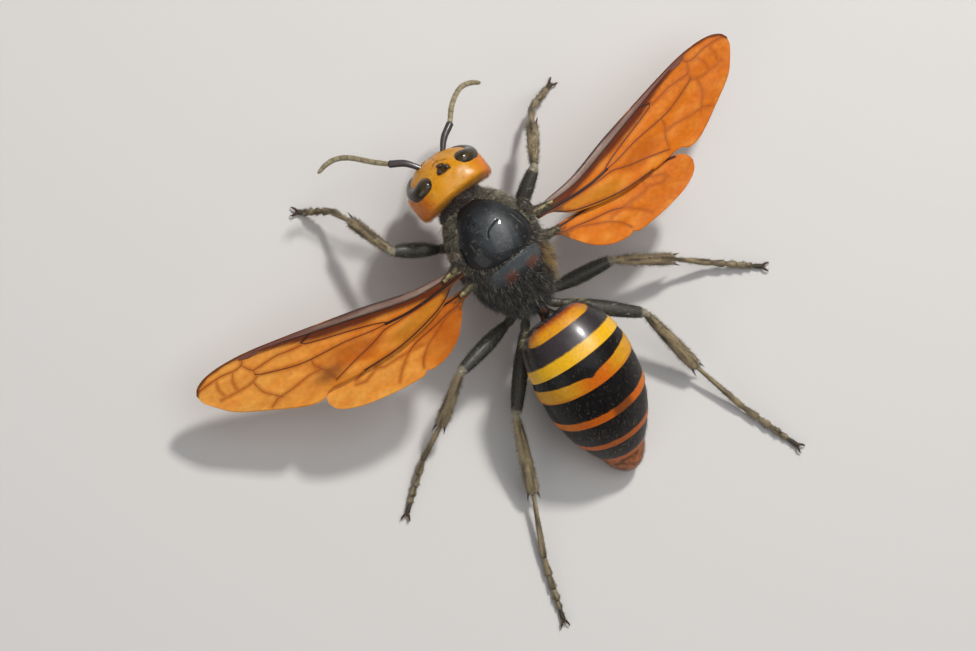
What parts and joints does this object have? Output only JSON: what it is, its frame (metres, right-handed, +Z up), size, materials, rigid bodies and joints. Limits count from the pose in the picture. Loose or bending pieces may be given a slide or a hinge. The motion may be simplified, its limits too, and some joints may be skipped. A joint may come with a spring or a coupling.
{
  "type": "asian giant hornet",
  "caption": "Life-size still model of an Asian giant hornet standing with its wings spread, banded abdomen drooping behind, for a display or a scene.",
  "frame": {"origin": "on the floor under the middle of the whole insect's box", "axes": "+Z up, the head points to -Y, and the insect's left side and left wing to +X"},
  "size_m": [0.0781, 0.0639, 0.0191],
  "materials": {
    "head_shell": "orange-yellow shell with fine short hair",
    "compound_eye": "dark brown, smooth and glossy",
    "black_shell": "black shell with a grey-blue sheen",
    "haired_shell": "dark shell under short olive-grey hair",
    "feeler": "olive brown, finely velvety",
    "leg": "dusty tan over dark brown, with short hair",
    "abdomen": "yellow, orange and black bands, satin to glossy",
    "wing": "translucent amber membrane with dark brown veins"
  },
  "bodies": {
    "root": {"coxa_fore_left": "black_shell", "coxa_fore_right": "black_shell", "coxa_hind_left": "black_shell", "coxa_hind_right": "black_shell", "coxa_mid_left": "black_shell", "coxa_mid_right": "black_shell", "eye_left": "compound_eye", "eye_right": "compound_eye", "femur_fore_left": "black_shell", "femur_fore_right": "black_shell", "femur_hind_left": "black_shell", "femur_hind_right": "black_shell", "femur_mid_left": "black_shell", "femur_mid_right": "black_shell", "flagellum_left": "feeler", "flagellum_right": "feeler", "forewing_left": "wing", "forewing_right": "wing", "gaster_1": "abdomen", "gaster_2": "abdomen", "gaster_3": "abdomen", "gaster_4": "abdomen", "gaster_5": "abdomen", "gaster_6": "abdomen", "head": "head_shell", "hindwing_left": "wing", "hindwing_right": "wing", "mandible_left": "black_shell", "mandible_right": "black_shell", "mesothorax": "haired_shell", "petiole": "black_shell", "pronotum": "haired_shell", "propodeum": "haired_shell", "scape_left": "black_shell", "scape_right": "black_shell", "scutellum": "black_shell", "scutum": "black_shell", "tarsus_fore_left": "leg", "tarsus_fore_right": "leg", "tarsus_hind_left": "leg", "tarsus_hind_right": "leg", "tarsus_mid_left": "leg", "tarsus_mid_right": "leg", "tegula_left": "black_shell", "tegula_right": "black_shell", "tibia_fore_left": "leg", "tibia_fore_right": "leg", "tibia_hind_left": "leg", "tibia_hind_right": "leg", "tibia_mid_left": "leg", "tibia_mid_right": "leg"}
  },
  "joints": []
}
